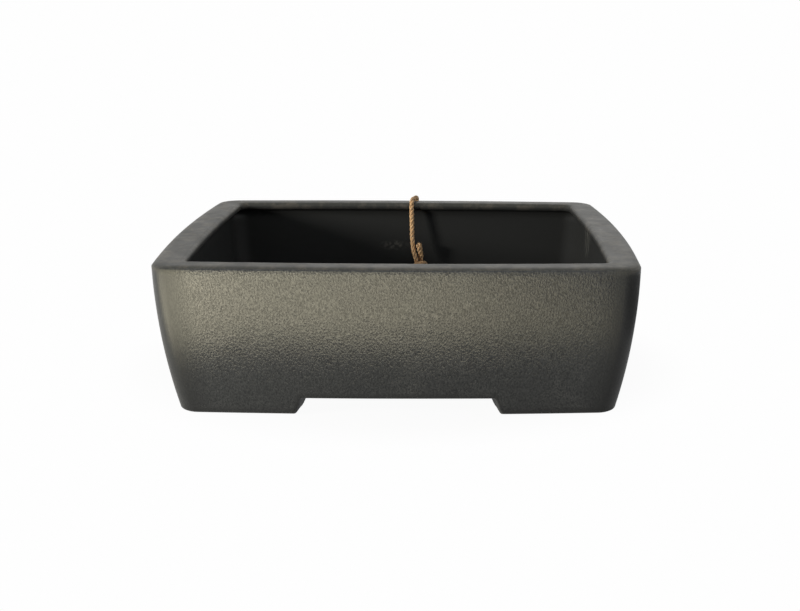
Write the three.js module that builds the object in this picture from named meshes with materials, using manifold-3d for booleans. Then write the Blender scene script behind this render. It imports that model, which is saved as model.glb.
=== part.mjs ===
// Rectangular bonsai pot in unglazed grey stoneware, with the cord that is tied round its rear wall.
// Millimetres, +Z up. The origin is the middle of the footprint on the table, +Y is the rear.

import * as THREE from 'three';
import { mergeVertices } from 'three/addons/utils/BufferGeometryUtils.js';
import Module from 'manifold-3d';

// Outside of the pot
const LENGTH = 300;
const DEPTH = 225;
const HEIGHT = 95.5;
const LONG_SIDE_BOW = 3.3;
const SHORT_SIDE_BOW = 4.6;
const CORNER_RADIUS = 12;
const WALL_CURVE_RADIUS = 464;

// Rim, a flat band that turns inwards over the wall. Its outer edge is a flat oval, wider than high.
const LONG_SIDE_RIM_WIDTH = 15;
const SHORT_SIDE_RIM_WIDTH = 20;
const RIM_EDGE_WIDTH = 5;
const RIM_EDGE_DROP = 2;
const RIM_INNER_RADIUS = 3;
const MOUTH_SIDE_BOW = 2.7;
const MOUTH_CORNER_RADIUS = 6;
const LIP_THICKNESS = 5.5;
const LIP_LOWER_RADIUS = 1.5;
const COVE_HEIGHT = 6;

// Wall and floor
const WALL_THICKNESS = 9.5;
const CAVITY_CORNER_RADIUS = 14;
const FLOOR_THICKNESS = 8.5;
const FLOOR_FILLET = 9;

// Skirt and its four corner feet
const CUT_OUT_HEIGHT = 11.5;
const UNDERSIDE_RISE = 1.5;
const FOOT_WIDTH = 14;
const FOOT_DRAFT = 1;
const FOOT_CORNER_RADIUS = 5;
const BOTTOM_EDGE_RADIUS = 2.5;
const FRONT_GAP = 128;
const SIDE_GAP = 86;
const GAP_SLANT = 5;
const GAP_EDGE_RADIUS = 2;

// Holes through the floor
const DRAIN_HOLE_DIAMETER = 24;
const DRAIN_HOLE_COUNT = 3;
const DRAIN_HOLE_PITCH = 84;
const DRAIN_HOLE_CHAMFER = 1.2;
const WIRE_HOLE_DIAMETER = 5;
const WIRE_HOLE_CHAMFER = 0.4;
const WIRE_HOLE_SPAN_X = 84;
const WIRE_HOLE_SPAN_Y = 110;

// Tie cord, three-strand jute, and its reef knot
const CORD_DIAMETER = 3.5;
const CORD_SIDES = 8;
const CORD_STEPS = 80;
const CORD_END_STEPS = 4;
const CORD_END_DIAMETER = 4.2;
const KNOT_WIDTH = 15;
const KNOT_THICKNESS = 8;
const KNOT_FLAT_WIDTH = 12;
const KNOT_GAP = 0.5;

// Fineness of the curved surfaces
const SIDE_SEGMENTS = 10;
const CORNER_SEGMENTS = 7;
const WALL_RINGS = 8;
const EDGE_RINGS = 4;
const HOLE_SEGMENTS = 32;
const KNOT_RINGS = 6;
const KNOT_SEGMENTS = 20;

// How far a cutter stands past the faces that it opens, and how near two points are to count as one
const CUTTER_OVERRUN = 1;
const WELD_DISTANCE = 1e-4;

// Colours and roughness
const STONEWARE_GREY = 0x55554f;
const STONEWARE_ROUGHNESS = 0.6;
const JUTE_TAN = 0xa9835a;
const JUTE_ROUGHNESS = 0.9;

// Heights that follow from the sizes above
const BELLY_HEIGHT = HEIGHT - RIM_EDGE_DROP;
const UNDERSIDE_HEIGHT = CUT_OUT_HEIGHT + UNDERSIDE_RISE;
const FLOOR_HEIGHT = UNDERSIDE_HEIGHT + FLOOR_THICKNESS;
const COVE_TOP = HEIGHT - LIP_THICKNESS;
const COVE_FOOT = COVE_TOP - COVE_HEIGHT;

// The cord's route: from the top of the knot, over the rear rim, down the back, under the floor,
// up through the middle drain hole, along the floor and back into the knot from below.
const CORD_ROUTE = [
  [8.3, 87.6, 51.8], [7.5, 87.8, 54.6], [5.9, 89.7, 61.5], [5.1, 91.4, 69], [4.9, 93.2, 78],
  [4.6, 94.6, 86.5], [4.5, 95.2, 91.5], [4.7, 96.5, 96.3], [5.3, 100.2, 97.9], [6.2, 104, 97.7],
  [7.4, 109, 97.7], [8.2, 113.6, 96.4], [8.6, 115, 92], [8.9, 114.9, 84], [9, 114.4, 72],
  [8.7, 113.5, 57], [8.1, 112.1, 42], [7.2, 110.5, 28], [6.8, 109.3, 17.5], [6.6, 108.3, 11.7],
  [6.3, 105.5, 8.7], [5.9, 101.5, 7.7], [4.9, 90, 8.5], [3.2, 65, 9.7], [1.6, 35, 10.4],
  [0.9, 20, 10.2], [0.6, 14.4, 9.9], [0.5, 9.2, 12], [0.6, 7.1, 17.25], [0.9, 9.2, 22.5],
  [1.5, 14.4, 24.7], [2.6, 22, 24.3], [5, 38, 23.7], [8, 56, 23.7], [9.6, 70, 23.8],
  [9.7, 78, 24.6], [9, 84.2, 27.7], [8.5, 87.1, 32], [8.3, 87.5, 36.2],
];
const UPPER_END_ROUTE = [[11.9, 90, 51.8], [11.7, 89.8, 55.5], [10.9, 89.3, 60.5], [10.1, 88.8, 64.7]];
const LOWER_END_ROUTE = [[11.9, 85.2, 36.2], [12.3, 84.9, 33.5], [13.1, 84.3, 29.8], [14.1, 83.5, 26.8]];

const wasm = await Module();
wasm.setup();

// How far the outer wall stands inside the belly at a height.
function wallInset(height) {
  const drop = BELLY_HEIGHT - height;
  return WALL_CURVE_RADIUS - Math.sqrt(WALL_CURVE_RADIUS ** 2 - drop ** 2);
}

// Points on an arc that starts at `start`, ends before `end` and stands `bow` outside their chord.
function bowedSide(start, end, bow) {
  const chord = end.clone().sub(start);
  const along = chord.clone().normalize();
  const outward = new THREE.Vector2(along.y, -along.x);
  const radius = (chord.lengthSq() / 4 + bow ** 2) / (2 * bow);
  const centre = start.clone().add(end).divideScalar(2).addScaledVector(outward, bow - radius);
  const reach = Math.asin(chord.length() / 2 / radius);
  const middle = Math.atan2(outward.y, outward.x);
  return { centre, radius, from: middle - reach, to: middle + reach };
}

// The pot's plan at one level: four bowed sides joined by round corners, counter-clockwise.
// `sideBow` is the bow of the two short sides.
function planOutline({ shortInset, longInset, sideBow, cornerRadius }) {
  const halfX = LENGTH / 2 - shortInset - sideBow - cornerRadius;
  const halfY = DEPTH / 2 - longInset - LONG_SIDE_BOW - cornerRadius;
  const corners = [[-1, -1], [1, -1], [1, 1], [-1, 1]]
    .map(([x, y]) => new THREE.Vector2(x * halfX, y * halfY));
  const sides = corners.map((corner, i) =>
    bowedSide(corner, corners[(i + 1) % 4], i % 2 === 0 ? LONG_SIDE_BOW : sideBow));
  const points = [];
  const addArc = (centre, radius, from, to, segments) => {
    for (let i = 0; i < segments; i++) {
      const angle = from + (to - from) * i / segments;
      points.push([centre.x + radius * Math.cos(angle), centre.y + radius * Math.sin(angle)]);
    }
  };
  sides.forEach((side, i) => {
    const next = sides[(i + 1) % 4];
    const turn = THREE.MathUtils.euclideanModulo(next.from - side.to, 2 * Math.PI);
    addArc(side.centre, side.radius + cornerRadius, side.from, side.to, SIDE_SEGMENTS);
    addArc(corners[(i + 1) % 4], cornerRadius, side.to, side.to + turn, CORNER_SEGMENTS);
  });
  return points;
}

// Levels along a quarter ellipse between two points of the section, as [inset, height] pairs.
// `upright` says that it leaves the first point vertically.
function quarterTurn(from, to, upright) {
  const levels = [];
  for (let i = 1; i <= EDGE_RINGS; i++) {
    const angle = (i / EDGE_RINGS) * Math.PI / 2;
    const slow = 1 - Math.cos(angle);
    const fast = Math.sin(angle);
    const [u, v] = upright ? [slow, fast] : [fast, slow];
    levels.push([from[0] + (to[0] - from[0]) * u, from[1] + (to[1] - from[1]) * v]);
  }
  return levels;
}

// How far the cavity's wall stands inside the belly at a height.
function cavityInset(height) {
  return wallInset(height) + WALL_THICKNESS;
}

// The rounded inner edge of a rim of that width, down to the lip's underside.
function lipSection(rimWidth) {
  const lip = [[rimWidth - RIM_INNER_RADIUS, HEIGHT]];
  lip.push(...quarterTurn(lip[0], [rimWidth, HEIGHT - RIM_INNER_RADIUS], false));
  lip.push([rimWidth, COVE_TOP + LIP_LOWER_RADIUS]);
  lip.push(...quarterTurn(lip.at(-1), [rimWidth - LIP_LOWER_RADIUS, COVE_TOP], true));
  return lip;
}

// The cove under a rim of that width.
function coveSection(rimWidth) {
  return quarterTurn([rimWidth - LIP_LOWER_RADIUS, COVE_TOP], [cavityInset(COVE_FOOT), COVE_FOOT], false);
}

// The wall's section: round the foot, up the outside, over the rim and down to the floor.
function sectionLevels() {
  const footInset = wallInset(0) + FOOT_WIDTH;
  const wallFoot = [wallInset(BOTTOM_EDGE_RADIUS), BOTTOM_EDGE_RADIUS];
  const level = (shortInset, longInset, height, cornerRadius, sideBow) =>
    ({ shortInset, longInset, height, cornerRadius, sideBow });
  const evenLevels = (pairs, cornerRadius) =>
    pairs.map(([inset, height]) => level(inset, inset, height, cornerRadius, SHORT_SIDE_BOW));

  const foot = [
    [footInset + FOOT_DRAFT, UNDERSIDE_HEIGHT],
    [footInset, BOTTOM_EDGE_RADIUS / 2],
    [footInset - BOTTOM_EDGE_RADIUS / 2, 0],
  ];

  const outside = [[wallInset(0) + BOTTOM_EDGE_RADIUS, 0]];
  outside.push(...quarterTurn(outside[0], wallFoot, false));
  for (let i = 1; i <= WALL_RINGS; i++) {
    const height = BOTTOM_EDGE_RADIUS + (BELLY_HEIGHT - BOTTOM_EDGE_RADIUS) * i / WALL_RINGS;
    outside.push([wallInset(height), height]);
  }
  outside.push(...quarterTurn([0, BELLY_HEIGHT], [RIM_EDGE_WIDTH, HEIGHT], true));

  const longLip = lipSection(LONG_SIDE_RIM_WIDTH);
  const lip = lipSection(SHORT_SIDE_RIM_WIDTH).map(([inset, height], i) =>
    level(inset, longLip[i][0], height, MOUTH_CORNER_RADIUS, MOUTH_SIDE_BOW));

  const longCove = coveSection(LONG_SIDE_RIM_WIDTH);
  const cove = coveSection(SHORT_SIDE_RIM_WIDTH).map(([inset, height], i) => {
    const share = (i + 1) / EDGE_RINGS;
    const cornerRadius = THREE.MathUtils.lerp(MOUTH_CORNER_RADIUS, CAVITY_CORNER_RADIUS, share);
    const sideBow = THREE.MathUtils.lerp(MOUTH_SIDE_BOW, SHORT_SIDE_BOW, share);
    return level(inset, longCove[i][0], height, cornerRadius, sideBow);
  });

  const cavity = [];
  const filletTop = FLOOR_HEIGHT + FLOOR_FILLET;
  for (let i = 1; i <= WALL_RINGS; i++) {
    const height = COVE_FOOT + (filletTop - COVE_FOOT) * i / WALL_RINGS;
    cavity.push([cavityInset(height), height]);
  }
  const floorEdge = [cavityInset(filletTop) + FLOOR_FILLET, FLOOR_HEIGHT];
  cavity.push(...quarterTurn(cavity.at(-1), floorEdge, true));

  return [
    ...evenLevels(foot, FOOT_CORNER_RADIUS),
    ...evenLevels(outside, CORNER_RADIUS),
    ...lip,
    ...cove,
    ...evenLevels(cavity, CAVITY_CORNER_RADIUS),
  ];
}

// Skins a stack of outlines with the same number of points, and closes its first and last level flat.
function loftedGeometry(levels) {
  const positions = [];
  const triangles = [];
  for (const level of levels) {
    for (const [x, y] of planOutline(level)) positions.push(x, y, level.height);
  }
  const count = positions.length / 3 / levels.length;
  for (let level = 0; level + 1 < levels.length; level++) {
    for (let i = 0; i < count; i++) {
      const a = level * count + i;
      const b = level * count + (i + 1) % count;
      triangles.push(a, b, b + count, a, b + count, a + count);
    }
  }
  const last = (levels.length - 1) * count;
  for (let i = 1; i + 1 < count; i++) {
    triangles.push(0, i + 1, i);
    triangles.push(last, last + i, last + i + 1);
  }
  const geometry = new THREE.BufferGeometry();
  geometry.setAttribute('position', new THREE.Float32BufferAttribute(positions, 3));
  geometry.setIndex(triangles);
  return geometry;
}

function solidFromGeometry(geometry) {
  const bare = geometry.clone();
  bare.deleteAttribute('normal');
  bare.deleteAttribute('uv');
  const merged = mergeVertices(bare, WELD_DISTANCE);
  return new wasm.Manifold(new wasm.Mesh({
    numProp: 3,
    vertProperties: new Float32Array(merged.attributes.position.array),
    triVerts: new Uint32Array(merged.index.array),
  }));
}

function geometryFromSolid(solid) {
  const { vertProperties, triVerts } = solid.getMesh();
  const geometry = new THREE.BufferGeometry();
  geometry.setAttribute('position', new THREE.BufferAttribute(vertProperties, 3));
  geometry.setIndex(new THREE.BufferAttribute(triVerts, 1));
  geometry.computeVertexNormals();
  return geometry;
}

// One cut-out through both opposite skirts, `gap` wide at the table, narrower at its top.
function skirtCutter(gap, reach, acrossX) {
  const below = -BOTTOM_EDGE_RADIUS;
  const foot = gap / 2;
  const top = foot - GAP_SLANT;
  const outline = new THREE.Shape();
  outline.moveTo(-foot - GAP_EDGE_RADIUS, below);
  outline.lineTo(-foot - GAP_EDGE_RADIUS, 0);
  outline.quadraticCurveTo(-foot, 0, -foot + GAP_EDGE_RADIUS / 2, GAP_EDGE_RADIUS);
  outline.lineTo(-top - GAP_EDGE_RADIUS / 2, CUT_OUT_HEIGHT - GAP_EDGE_RADIUS);
  outline.quadraticCurveTo(-top, CUT_OUT_HEIGHT, -top + GAP_EDGE_RADIUS, CUT_OUT_HEIGHT);
  outline.lineTo(top - GAP_EDGE_RADIUS, CUT_OUT_HEIGHT);
  outline.quadraticCurveTo(
    top, CUT_OUT_HEIGHT, top + GAP_EDGE_RADIUS / 2, CUT_OUT_HEIGHT - GAP_EDGE_RADIUS);
  outline.lineTo(foot - GAP_EDGE_RADIUS / 2, GAP_EDGE_RADIUS);
  outline.quadraticCurveTo(foot, 0, foot + GAP_EDGE_RADIUS, 0);
  outline.lineTo(foot + GAP_EDGE_RADIUS, below);
  const cutter = new THREE.ExtrudeGeometry(outline, {
    depth: reach,
    bevelEnabled: false,
    curveSegments: EDGE_RINGS,
  });
  cutter.translate(0, 0, -reach / 2);
  cutter.rotateX(Math.PI / 2);
  if (acrossX) cutter.rotateZ(Math.PI / 2);
  return cutter;
}

// A round hole through the floor with both edges chamfered.
function holeCutter(x, y, diameter, chamfer) {
  const radius = diameter / 2;
  const flare = radius + chamfer + CUTTER_OVERRUN;
  const below = UNDERSIDE_HEIGHT - CUTTER_OVERRUN;
  const above = FLOOR_HEIGHT + CUTTER_OVERRUN;
  const profile = [
    [0, below], [flare, below], [radius, UNDERSIDE_HEIGHT + chamfer],
    [radius, FLOOR_HEIGHT - chamfer], [flare, above], [0, above],
  ].map(([r, z]) => new THREE.Vector2(r, z));
  const cutter = new THREE.LatheGeometry(profile, HOLE_SEGMENTS);
  cutter.rotateX(Math.PI / 2);
  cutter.translate(x, y, 0);
  return cutter;
}

function potGeometry() {
  let pot = solidFromGeometry(loftedGeometry(sectionLevels()));
  const cutters = [
    skirtCutter(FRONT_GAP, DEPTH, false),
    skirtCutter(SIDE_GAP, LENGTH, true),
  ];
  for (let i = 0; i < DRAIN_HOLE_COUNT; i++) {
    const x = (i - (DRAIN_HOLE_COUNT - 1) / 2) * DRAIN_HOLE_PITCH;
    cutters.push(holeCutter(x, 0, DRAIN_HOLE_DIAMETER, DRAIN_HOLE_CHAMFER));
  }
  for (const side of [-1, 1]) {
    for (const end of [-1, 1]) {
      const x = side * WIRE_HOLE_SPAN_X / 2;
      const y = end * WIRE_HOLE_SPAN_Y / 2;
      cutters.push(holeCutter(x, y, WIRE_HOLE_DIAMETER, WIRE_HOLE_CHAMFER));
    }
  }
  for (const cutter of cutters) pot = pot.subtract(solidFromGeometry(cutter));
  return geometryFromSolid(pot);
}

// A round cord along a route.
function cordGeometry(route, diameter, steps) {
  const section = new THREE.Shape();
  for (let i = 0; i < CORD_SIDES; i++) {
    const angle = i / CORD_SIDES * 2 * Math.PI;
    const point = [Math.cos(angle) * diameter / 2, Math.sin(angle) * diameter / 2];
    if (i === 0) section.moveTo(...point);
    else section.lineTo(...point);
  }
  const points = route.map((point) => new THREE.Vector3(...point));
  const path = new THREE.CatmullRomCurve3(points, false, 'centripetal');
  return new THREE.ExtrudeGeometry(section, { steps, extrudePath: path, bevelEnabled: false });
}

// The outer shape of the reef knot: a rounded pad, flat above and below, between the cord's two ends.
function knotGeometry() {
  const [, , cordTop] = CORD_ROUTE[0];
  const [cordX, cordY, cordFoot] = CORD_ROUTE.at(-1);
  const [endX] = LOWER_END_ROUTE[0];
  const half = (cordTop - cordFoot) / 2 - KNOT_GAP;
  const bulge = (KNOT_WIDTH - KNOT_FLAT_WIDTH) / 2;
  const profile = [new THREE.Vector2(0, -half)];
  for (let i = 0; i <= KNOT_RINGS; i++) {
    const height = half * (2 * i / KNOT_RINGS - 1);
    const swell = Math.cos(height / half * Math.PI / 2);
    profile.push(new THREE.Vector2(KNOT_FLAT_WIDTH / 2 + bulge * swell, height));
  }
  profile.push(new THREE.Vector2(0, half));
  const pad = new THREE.LatheGeometry(profile, KNOT_SEGMENTS);
  pad.rotateX(Math.PI / 2);
  pad.scale(1, KNOT_THICKNESS / KNOT_WIDTH, 1);
  pad.translate((cordX + endX) / 2, cordY, (cordTop + cordFoot) / 2);
  return pad;
}

function namedMesh(name, geometry, colour, roughness) {
  const material = new THREE.MeshStandardMaterial({ color: colour, roughness, metalness: 0 });
  const mesh = new THREE.Mesh(geometry, material);
  mesh.name = name;
  return mesh;
}

const bonsaiPot = new THREE.Group();
bonsaiPot.add(namedMesh('pot_body', potGeometry(), STONEWARE_GREY, STONEWARE_ROUGHNESS));

const tie = new THREE.Group();
const ties = {
  tie_cord: cordGeometry(CORD_ROUTE, CORD_DIAMETER, CORD_STEPS),
  tie_knot: knotGeometry(),
  tie_end_upper: cordGeometry(UPPER_END_ROUTE, CORD_END_DIAMETER, CORD_END_STEPS),
  tie_end_lower: cordGeometry(LOWER_END_ROUTE, CORD_DIAMETER, CORD_END_STEPS),
};
for (const [name, geometry] of Object.entries(ties)) {
  tie.add(namedMesh(name, geometry, JUTE_TAN, JUTE_ROUGHNESS));
}
bonsaiPot.add(tie);

export default bonsaiPot;
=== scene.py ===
# %% [markdown]
# # A rectangular bonsai pot with a jute tie
#
# The real object has two pieces. A potter builds the pot in one body of dark stoneware clay,
# turns the rim inwards, cuts the feet out of the skirt while the clay is leather hard, and fires
# it without a glaze. A length of jute cord is tied round the rear wall with a reef knot.
#
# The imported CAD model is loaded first. It fixes every size and place, so nothing here is scaled
# or moved to fit: each finer mesh is made where its plain CAD solid already stands.

# %% Load the frame
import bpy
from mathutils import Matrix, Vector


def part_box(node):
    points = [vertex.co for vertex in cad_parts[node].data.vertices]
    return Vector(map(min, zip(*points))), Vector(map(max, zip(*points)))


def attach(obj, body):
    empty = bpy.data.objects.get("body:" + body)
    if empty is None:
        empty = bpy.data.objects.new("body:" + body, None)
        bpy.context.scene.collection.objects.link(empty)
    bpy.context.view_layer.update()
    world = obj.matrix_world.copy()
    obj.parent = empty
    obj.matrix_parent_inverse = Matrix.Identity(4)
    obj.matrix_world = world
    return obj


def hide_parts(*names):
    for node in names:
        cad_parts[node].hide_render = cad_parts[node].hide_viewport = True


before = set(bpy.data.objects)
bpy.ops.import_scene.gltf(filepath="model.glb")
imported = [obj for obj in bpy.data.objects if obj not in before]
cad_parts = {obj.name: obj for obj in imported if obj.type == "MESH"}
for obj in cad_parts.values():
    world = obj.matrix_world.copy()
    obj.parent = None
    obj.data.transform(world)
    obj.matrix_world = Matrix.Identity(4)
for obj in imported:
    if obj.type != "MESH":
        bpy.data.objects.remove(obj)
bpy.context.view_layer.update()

# %% Tools, units and colours
import math
from functools import partial

import bmesh
import bpy
import numpy as np
from mathutils import Matrix, Vector, geometry, noise

MM = 0.001
WHITE = "#ffffff"


def linear(hex_colour):
    """Linear values, as shaders want them, of a colour that is written as sRGB hex."""
    parts = [int(hex_colour[i:i + 2], 16) / 255 for i in (1, 3, 5)]
    return [c / 12.92 if c <= 0.04045 else ((c + 0.055) / 1.055) ** 2.4 for c in parts] + [1.0]


def first_shown(sockets, name=None):
    """The first socket in use, or of that name in use: some nodes have one for each data type."""
    return next(s for s in sockets if s.enabled and name in (None, s.name))


def add_node(tree, kind, inputs=(), **settings):
    """Adds a node with its settings. Its inputs are listed in the node's order, or given by name,
    and each is a value, another node or a node's socket."""
    node = tree.nodes.new(kind)
    for name, value in settings.items():
        setattr(node, name, value)
    for key, value in inputs.items() if isinstance(inputs, dict) else enumerate(inputs):
        socket = node.inputs[key] if isinstance(key, int) else first_shown(node.inputs, key)
        if isinstance(value, bpy.types.Node):
            value = first_shown(value.outputs)
        if isinstance(value, bpy.types.NodeSocket):
            tree.links.new(value, socket)
        else:
            socket.default_value = value
    return node


def new_shading(kind, name):
    """A material or world with an empty node tree, and add_node made ready for that tree."""
    owner = kind.new(name)
    owner.use_nodes = True
    owner.node_tree.nodes.clear()
    return owner, partial(add_node, owner.node_tree)


def paint(node, ground, *coats):
    """Coats of colour over a ground. Each coat is an amount from 0 to 1 and its colour."""
    for amount, colour in coats:
        ground = node("ShaderNodeMix", {
            "Factor": amount, "A": ground, "B": colour,
        }, data_type="RGBA")
    return ground


def link_object(name, data):
    """A new object in the scene, at the origin."""
    obj = bpy.data.objects.new(name, data)
    bpy.context.scene.collection.objects.link(obj)
    return obj


print("the middle grey #808080 is", round(linear("#808080")[0], 3), "as a linear value")

# %% [markdown]
# ## The camera
#
# The photograph was taken from a little above the rim and almost square to the front. The lens and
# the place were found by laying the pot's known outline over the picture's outline. The picture's
# middle isn't on the lens axis, because it was cropped, and the small shift stands for that.

# %% Camera at the photograph's angle
PICTURE_WIDTH = 800
LENS_IN_PIXELS = 1009.0
LENS_AXIS_FROM_MIDDLE = 49.2
CAMERA_PLACE = Vector((20.0, -681.0, 238.8)) * MM
CAMERA_HEADING = math.radians(1.07)
CAMERA_PITCH = math.radians(16.21)
CAMERA_ROLL = math.radians(0.52)

camera_data = bpy.data.cameras.new("camera")
camera_data.sensor_width = 36
camera_data.lens = LENS_IN_PIXELS / PICTURE_WIDTH * camera_data.sensor_width
camera_data.shift_x = -LENS_AXIS_FROM_MIDDLE / PICTURE_WIDTH
camera_data.clip_start = 0.01
camera = link_object("camera", camera_data)
camera.matrix_world = (
    Matrix.Translation(CAMERA_PLACE)
    @ Matrix.Rotation(-CAMERA_HEADING, 4, "Z")
    @ Matrix.Rotation(math.pi / 2 - CAMERA_PITCH, 4, "X")
    @ Matrix.Rotation(CAMERA_ROLL, 4, "Z")
)
bpy.context.scene.camera = camera
print(f"lens {camera_data.lens:.1f} mm on a 36 mm sensor")

# %% [markdown]
# ## The cord's route
#
# A cord is one length of something flexible, so its centreline comes first and its surface is
# swept along it later. The free stretch runs from the top of the knot over the rear rim, down the
# back, under the floor, up through the middle drain hole and along the floor to the knot. These
# are the points of the CAD model, in metres, so that the jute lies where its plain tube lay.

# %% Route of the free stretch and of the two cut ends
CORD_ROUTE = [
    (0.0083, 0.0876, 0.0518), (0.0075, 0.0878, 0.0546), (0.0059, 0.0897, 0.0615),
    (0.0051, 0.0914, 0.069), (0.0049, 0.0932, 0.078), (0.0046, 0.0946, 0.0865),
    (0.0045, 0.0952, 0.0915), (0.0047, 0.0965, 0.0963), (0.0053, 0.1002, 0.0979),
    (0.0062, 0.104, 0.0977), (0.0074, 0.109, 0.0977), (0.0082, 0.1136, 0.0964),
    (0.0086, 0.115, 0.092), (0.0089, 0.1149, 0.084), (0.009, 0.1144, 0.072),
    (0.0087, 0.1135, 0.057), (0.0081, 0.1121, 0.042), (0.0072, 0.1105, 0.028),
    (0.0068, 0.1093, 0.0175), (0.0066, 0.1083, 0.0117), (0.0063, 0.1055, 0.0087),
    (0.0059, 0.1015, 0.0077), (0.0049, 0.09, 0.0085), (0.0032, 0.065, 0.0097),
    (0.0016, 0.035, 0.0104), (0.0009, 0.02, 0.0102), (0.0006, 0.0144, 0.0099),
    (0.0005, 0.0092, 0.012), (0.0006, 0.0071, 0.01725), (0.0009, 0.0092, 0.0225),
    (0.0015, 0.0144, 0.0247), (0.0026, 0.022, 0.0243), (0.005, 0.038, 0.0237),
    (0.008, 0.056, 0.0237), (0.0096, 0.07, 0.0238), (0.0097, 0.078, 0.0246),
    (0.009, 0.0842, 0.0277), (0.0085, 0.0871, 0.032), (0.0083, 0.0875, 0.0362),
]
UPPER_END_ROUTE = [
    (0.0101, 0.0888, 0.0647), (0.0109, 0.0893, 0.0605), (0.0117, 0.0898, 0.0555),
    (0.0119, 0.09, 0.0518),
]
LOWER_END_ROUTE = [
    (0.0119, 0.0852, 0.0362), (0.0123, 0.0849, 0.0335), (0.0131, 0.0843, 0.0298),
    (0.0141, 0.0835, 0.0268),
]

# %% [markdown]
# ## The reef knot
#
# A reef knot is two bights, each a U of cord, hooked through one another. One hangs down from the
# rim and the other comes up from the floor, and the second is the first turned upside down and
# back to front. So half of one bight is enough: across, up, and towards the viewer, in millimetres
# from the knot's middle. It passes behind the other's bend, then before its leg, and its own bend
# lies behind both legs.

# %% Two bights from one half
KNOT_MIDDLE = np.array([0.0101, 0.0875, 0.0436])
KNOT_TILT = 0.3
HALF_BIGHT = [
    (1.8, 5.7, -1.75), (2.1, 3.3, -0.9), (3.6, 0.1, 1.65), (5.2, -2.9, 0.9),
    (4.8, -4.9, -0.8), (2.7, -5.75, -1.75), (0.0, -5.85, -1.8),
]


def bight(half, upside_down):
    """The whole bight, from the leg at +X to the leg at -X, as points in the frame."""
    points = half + [(-across, up, near) for across, up, near in half[-2::-1]]
    flip = -1 if upside_down else 1
    return [KNOT_MIDDLE + np.array([across, -near * flip, up * flip + KNOT_TILT * across]) * MM
            for across, up, near in points]


upper_bight = bight(HALF_BIGHT, upside_down=False)
lower_bight = bight(HALF_BIGHT, upside_down=True)[::-1]
print("points in each bight:", len(upper_bight))

# %% [markdown]
# ## One smooth line for the whole cord
#
# The five stretches are laid end to end and smoothed as one curve, so the strands run on through
# the knot without a break. A Catmull-Rom curve passes through every point given, and its
# centripetal form doesn't loop where points lie close together. A side direction is carried along
# the line without turning, because strands that wind round a line need one to start from.

# %% Smooth the line and carry a side direction along it
LINE_SPACING = 0.45 * MM


def smooth_line(points, spacing):
    """Points along a centripetal Catmull-Rom curve, and where each given point is among them."""
    points = np.array(points, float)
    ends = [2 * points[0] - points[1], 2 * points[-1] - points[-2]]
    wide = np.vstack([ends[:1], points, ends[1:]])
    line, marks = [], []
    for before, start, end, after in zip(wide, wide[1:], wide[2:], wide[3:]):
        marks.append(len(line))
        first, gap, last = (np.linalg.norm(b - a) ** 0.5
                            for a, b in ((before, start), (start, end), (end, after)))
        straight = (end - start) / gap
        leave = (start - before) / first - (end - before) / (first + gap) + straight
        arrive = straight - (after - start) / (gap + last) + (after - end) / last
        leave, arrive = leave * gap, arrive * gap
        steps = max(2, math.ceil(np.linalg.norm(end - start) / spacing))
        for t in np.arange(steps) / steps:
            bend = (3 * (end - start) - 2 * leave - arrive) * t ** 2
            line.append(start + leave * t + bend + (2 * (start - end) + leave + arrive) * t ** 3)
    return np.array(line + [points[-1]]), marks + [len(line)]


def carried_sides(line):
    """A direction square to the line at each point, which never turns about the line."""
    forward = np.gradient(line, axis=0)
    forward /= np.linalg.norm(forward, axis=1)[:, None]
    side = np.cross(forward[0], (0, 1, 0))
    sides = []
    for ahead in forward:
        side = side - side.dot(ahead) * ahead
        side /= np.linalg.norm(side)
        sides.append(side)
    return forward, np.array(sides)


stretches = [UPPER_END_ROUTE, upper_bight, CORD_ROUTE, lower_bight, LOWER_END_ROUTE]
cord_line, marks = smooth_line([point for stretch in stretches for point in stretch], LINE_SPACING)
forward, sides = carried_sides(cord_line)
along = np.concatenate([[0], np.cumsum(np.linalg.norm(np.diff(cord_line, axis=0), axis=1))])

upper_end_last = marks[len(UPPER_END_ROUTE) - 1]
cord_first = marks[len(UPPER_END_ROUTE) + len(upper_bight)]
cord_last = marks[len(UPPER_END_ROUTE) + len(upper_bight) + len(CORD_ROUTE) - 1]
lower_end_first = marks[-len(LOWER_END_ROUTE)]

# %% [markdown]
# ## Laid jute
#
# Jute twine of this size is three strands laid together, and each strand is a bundle of hard, flat
# fibres with a few loose ones standing out. The cut ends open a little, because nothing holds the
# lay there. The line carries four values for the node tree: how far along a point is, its side
# direction, how much the lay has opened, and a direction in which loose fibres are combed.

# %% Edge meshes that carry the values
TIP_REACH = 13 * MM
TIP_OPENING = 0.32
OPENING_CURVE = 0.6
FRAY_REACH = 1.2 * MM
FRAY_PULL = 2.5


def tip_values():
    """How open the lay is and how the fibres are combed, at each point of the whole line."""
    from_tips = np.minimum(along, along[-1] - along)
    towards_tip = np.where(along < along[-1] / 2, -1, 1)[:, None] * forward
    opened = 1 + TIP_OPENING * np.clip(1 - from_tips / TIP_REACH, 0, 1) ** OPENING_CURVE
    combed = towards_tip * FRAY_PULL * np.clip(1 - from_tips / FRAY_REACH, 0, 1)[:, None]
    return opened, combed


opened, combed = tip_values()


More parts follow.
